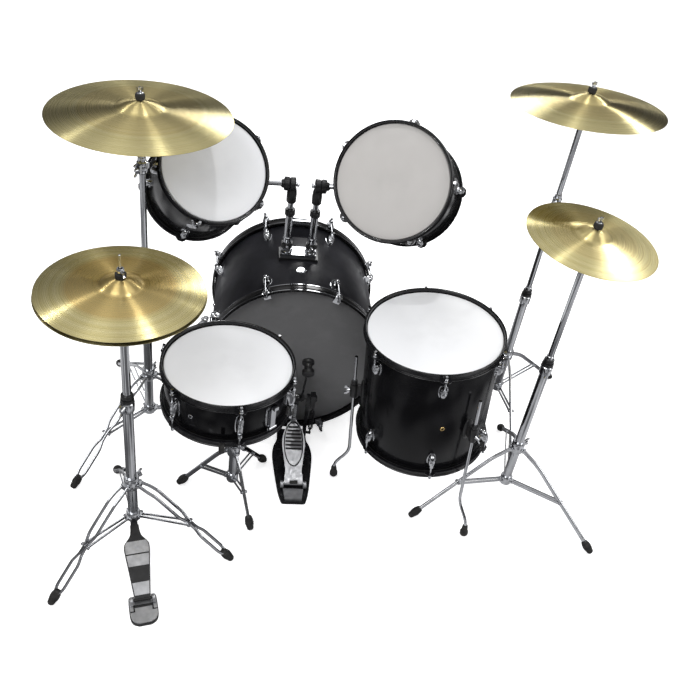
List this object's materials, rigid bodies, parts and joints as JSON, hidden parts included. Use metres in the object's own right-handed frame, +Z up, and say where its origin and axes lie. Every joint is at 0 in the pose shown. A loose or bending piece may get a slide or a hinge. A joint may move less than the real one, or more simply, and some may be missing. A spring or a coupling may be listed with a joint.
{
  "type": "acoustic drum kit",
  "caption": "Acoustic drum kit: bass drum with spurs and pedal, rack toms on a holder, floor tom on legs, snare on its stand, hi-hat with pedal, cymbals on tripod stands.",
  "frame": {"origin": "on the floor, below the centre of the whole kit's bounding box", "axes": "+Z up, +Y away from the player along the bass drum's axis, +X to the player's right"},
  "size_m": [1.7787, 1.2693, 1.2536],
  "materials": {
    "shell_wrap": "gloss black wrap over a plywood shell",
    "hoop_lacquer": "gloss black lacquered wooden hoop",
    "coated_drumhead": "white coated polyester film",
    "dark_drumhead": "dark grey polyester film",
    "clear_drumhead": "clear polyester film under a black steel hoop",
    "black_steel": "gloss black coated steel",
    "chrome": "polished chrome plate",
    "brushed_steel": "coiled steel wire",
    "cast_aluminium": "cast and painted aluminium",
    "cymbal_bronze": "lathed bronze"
  },
  "bodies": {
    "kit_base": {"bass_drum_shell": "shell_wrap", "bass_drum_batter_head": "dark_drumhead", "bass_drum_batter_hoop": "hoop_lacquer", "bass_drum_front_head": "dark_drumhead", "bass_drum_front_hoop": "hoop_lacquer", "tom_mount": "chrome", "floor_tom_shell": "shell_wrap", "floor_tom_batter_head": "coated_drumhead", "floor_tom_batter_hoop": "black_steel", "floor_tom_bottom_hoop_and_head": "clear_drumhead", "snare_stand_tripod": "chrome", "hihat_tripod": "chrome", "hihat_upper_tube": "chrome", "hihat_bottom_cymbal": "cymbal_bronze", "hihat_heel_plate": "cast_aluminium", "ride_tripod": "chrome", "rear_crash_tripod": "chrome", "front_crash_tripod": "chrome", "bass_pedal_base_plate": "black_steel", "bass_pedal_frame": "black_steel"},
    "left_spur": {"bass_drum_left_spur": "chrome"},
    "right_spur": {"bass_drum_right_spur": "chrome"},
    "left_tom_post": {"left_tom_post": "chrome"},
    "left_tom_arm": {"left_tom_arm": "chrome"},
    "left_tom": {"left_tom_shell": "shell_wrap", "left_tom_batter_head": "coated_drumhead", "left_tom_batter_hoop": "black_steel", "left_tom_bottom_hoop_and_head": "clear_drumhead"},
    "right_tom_post": {"right_tom_post": "chrome"},
    "right_tom_arm": {"right_tom_arm": "chrome"},
    "right_tom": {"right_tom_shell": "shell_wrap", "right_tom_batter_head": "coated_drumhead", "right_tom_batter_hoop": "black_steel", "right_tom_bottom_hoop_and_head": "clear_drumhead"},
    "floor_tom_leg_1": {"floor_tom_leg_1": "chrome"},
    "floor_tom_leg_2": {"floor_tom_leg_2": "chrome"},
    "floor_tom_leg_3": {"floor_tom_leg_3": "chrome"},
    "snare_stand_upper": {"snare_stand_upper_tube": "chrome"},
    "snare_basket": {"snare_basket": "chrome"},
    "snare_drum": {"snare_shell": "shell_wrap", "snare_batter_head": "coated_drumhead", "snare_batter_hoop": "black_steel", "snare_bottom_hoop_and_head": "clear_drumhead", "snare_wires": "brushed_steel"},
    "snare_throw_off": {"snare_throw_off_lever": "chrome"},
    "hihat_rod": {"hihat_pull_rod": "chrome"},
    "hihat_top": {"hihat_clutch": "chrome", "hihat_top_cymbal": "cymbal_bronze"},
    "hihat_pedal": {"hihat_footboard": "cast_aluminium"},
    "ride_upper_tube": {"ride_upper_tube": "chrome"},
    "ride_tilter": {"ride_tilter": "chrome"},
    "ride_cymbal": {"ride_cymbal": "cymbal_bronze"},
    "rear_crash_upper_tube": {"rear_crash_upper_tube": "chrome"},
    "rear_crash_tilter": {"rear_crash_tilter": "chrome"},
    "rear_crash_cymbal": {"rear_crash_cymbal": "cymbal_bronze"},
    "front_crash_upper_tube": {"front_crash_upper_tube": "chrome"},
    "front_crash_tilter": {"front_crash_tilter": "chrome"},
    "front_crash_cymbal": {"front_crash_cymbal": "cymbal_bronze"},
    "bass_pedal_footboard": {"bass_pedal_footboard": "cast_aluminium"},
    "bass_pedal_beater": {"bass_pedal_beater": "black_steel"}
  },
  "joints": [
    {"name": "left_spur_fold", "type": "hinge", "parent": "kit_base", "child": "left_spur", "pos_m": [-0.4828, 0.43845, 0.236], "axis": [0.8854, 0, -0.4648], "range_deg": [0, 58]},
    {"name": "right_spur_fold", "type": "hinge", "parent": "kit_base", "child": "right_spur", "pos_m": [0.12, 0.43845, 0.236], "axis": [0.8854, 0, 0.4648], "range_deg": [0, 58]},
    {"name": "left_tom_post_height", "type": "slide", "parent": "kit_base", "child": "left_tom_post", "axis": [0, 0, 1], "range_m": [0, 0.04]},
    {"name": "left_tom_tilt", "type": "hinge", "parent": "left_tom_post", "child": "left_tom_arm", "pos_m": [-0.2294, 0.38345, 0.826], "axis": [1, 0, 0], "range_deg": [-10, 10]},
    {"name": "left_tom_rod_slide", "type": "slide", "parent": "left_tom_arm", "child": "left_tom", "axis": [-0.9585, -0.2641, 0.1075], "range_m": [-0.012, 0.02]},
    {"name": "right_tom_post_height", "type": "slide", "parent": "kit_base", "child": "right_tom_post", "axis": [0, 0, 1], "range_m": [0, 0.08]},
    {"name": "right_tom_tilt", "type": "hinge", "parent": "right_tom_post", "child": "right_tom_arm", "pos_m": [-0.1494, 0.38345, 0.826], "axis": [1, 0, 0], "range_deg": [-10, 10]},
    {"name": "right_tom_rod_slide", "type": "slide", "parent": "right_tom_arm", "child": "right_tom", "axis": [0.9336, -0.2852, 0.2168], "range_m": [-0.012, 0.02]},
    {"name": "floor_tom_leg_1_slide", "type": "slide", "parent": "kit_base", "child": "floor_tom_leg_1", "axis": [-0.075, -0.005, 0.9972], "range_m": [0, 0.09]},
    {"name": "floor_tom_leg_2_slide", "type": "slide", "parent": "kit_base", "child": "floor_tom_leg_2", "axis": [-0.075, -0.005, 0.9972], "range_m": [0, 0.09]},
    {"name": "floor_tom_leg_3_slide", "type": "slide", "parent": "kit_base", "child": "floor_tom_leg_3", "axis": [-0.075, -0.005, 0.9972], "range_m": [0, 0.09]},
    {"name": "snare_stand_height", "type": "slide", "parent": "kit_base", "child": "snare_stand_upper", "axis": [0, 0, 1], "range_m": [0, 0.08]},
    {"name": "snare_basket_tilt", "type": "hinge", "parent": "snare_stand_upper", "child": "snare_basket", "pos_m": [-0.3664, -0.14655, 0.3682], "axis": [1, 0, 0], "range_deg": [-10, 10]},
    {"name": "snare_lift_out", "type": "slide", "parent": "snare_basket", "child": "snare_drum", "axis": [0, 0, 1], "range_m": [0, 0.2]},
    {"name": "snare_throw_off_swing", "type": "hinge", "parent": "snare_drum", "child": "snare_throw_off", "pos_m": [-0.26773, -0.30023, 0.4405], "axis": [0.7431, 0.6691, 0], "range_deg": [0, 85]},
    {"name": "hihat_rod_pull", "type": "slide", "parent": "kit_base", "child": "hihat_rod", "axis": [0, 0, -1], "range_m": [0, 0.005], "stiffness_N_per_m": 1200, "springref_m": -0.03},
    {"name": "hihat_clutch_height", "type": "slide", "parent": "hihat_rod", "child": "hihat_top", "axis": [0, 0, 1], "range_m": [0, 0.03]},
    {"name": "hihat_footboard_press", "type": "hinge", "parent": "kit_base", "child": "hihat_pedal", "pos_m": [-0.59349, -0.56109, 0.02], "axis": [-0.9744, -0.225, 0], "range_deg": [0, 1.5]},
    {"name": "ride_stand_height", "type": "slide", "parent": "kit_base", "child": "ride_upper_tube", "axis": [0, 0, 1], "range_m": [0, 0.12]},
    {"name": "ride_tilter_angle", "type": "hinge", "parent": "ride_upper_tube", "child": "ride_tilter", "pos_m": [-0.6514, 0.13145, 1.09042], "axis": [1, 0, 0], "range_deg": [-5, 20]},
    {"name": "ride_cymbal_rock", "type": "hinge", "parent": "ride_tilter", "child": "ride_cymbal", "pos_m": [-0.6514, 0.13145, 1.15242], "axis": [1, 0, 0], "range_deg": [-7, 7]},
    {"name": "rear_crash_stand_height", "type": "slide", "parent": "kit_base", "child": "rear_crash_upper_tube", "axis": [0, 0, 1], "range_m": [0, 0.12]},
    {"name": "rear_crash_tilter_angle", "type": "hinge", "parent": "rear_crash_upper_tube", "child": "rear_crash_tilter", "pos_m": [0.6046, 0.33545, 1.15557], "axis": [1, 0, 0], "range_deg": [-20, 20]},
    {"name": "rear_crash_cymbal_rock", "type": "hinge", "parent": "rear_crash_tilter", "child": "rear_crash_cymbal", "pos_m": [0.6046, 0.33545, 1.21757], "axis": [1, 0, 0], "range_deg": [-7, 7]},
    {"name": "front_crash_stand_height", "type": "slide", "parent": "kit_base", "child": "front_crash_upper_tube", "axis": [0, 0, 1], "range_m": [0, 0.12]},
    {"name": "front_crash_tilter_angle", "type": "hinge", "parent": "front_crash_upper_tube", "child": "front_crash_tilter", "pos_m": [0.5266, -0.13655, 0.973], "axis": [1, 0, 0], "range_deg": [-20, 20]},
    {"name": "front_crash_cymbal_rock", "type": "hinge", "parent": "front_crash_tilter", "child": "front_crash_cymbal", "pos_m": [0.5266, -0.13655, 1.035], "axis": [1, 0, 0], "range_deg": [-7, 7]},
    {"name": "bass_pedal_press", "type": "hinge", "parent": "kit_base", "child": "bass_pedal_footboard", "pos_m": [-0.1694, -0.12855, 0.024], "axis": [-1, 0, 0], "range_deg": [0, 11], "stiffness_Nm_per_rad": 3, "springref_deg": -22.92},
    {"name": "bass_pedal_beater_swing", "type": "hinge", "parent": "kit_base", "child": "bass_pedal_beater", "pos_m": [-0.1694, 0.10845, 0.185], "axis": [-1, 0, 0], "range_deg": [0, 30.5]}
  ],
  "couplings": [
    {"joint": "hihat_footboard_press", "follows": "hihat_rod_pull", "rad_per_m": 4.4603},
    {"joint": "bass_pedal_beater_swing", "follows": "bass_pedal_press", "ratio": 2.7273}
  ]
}
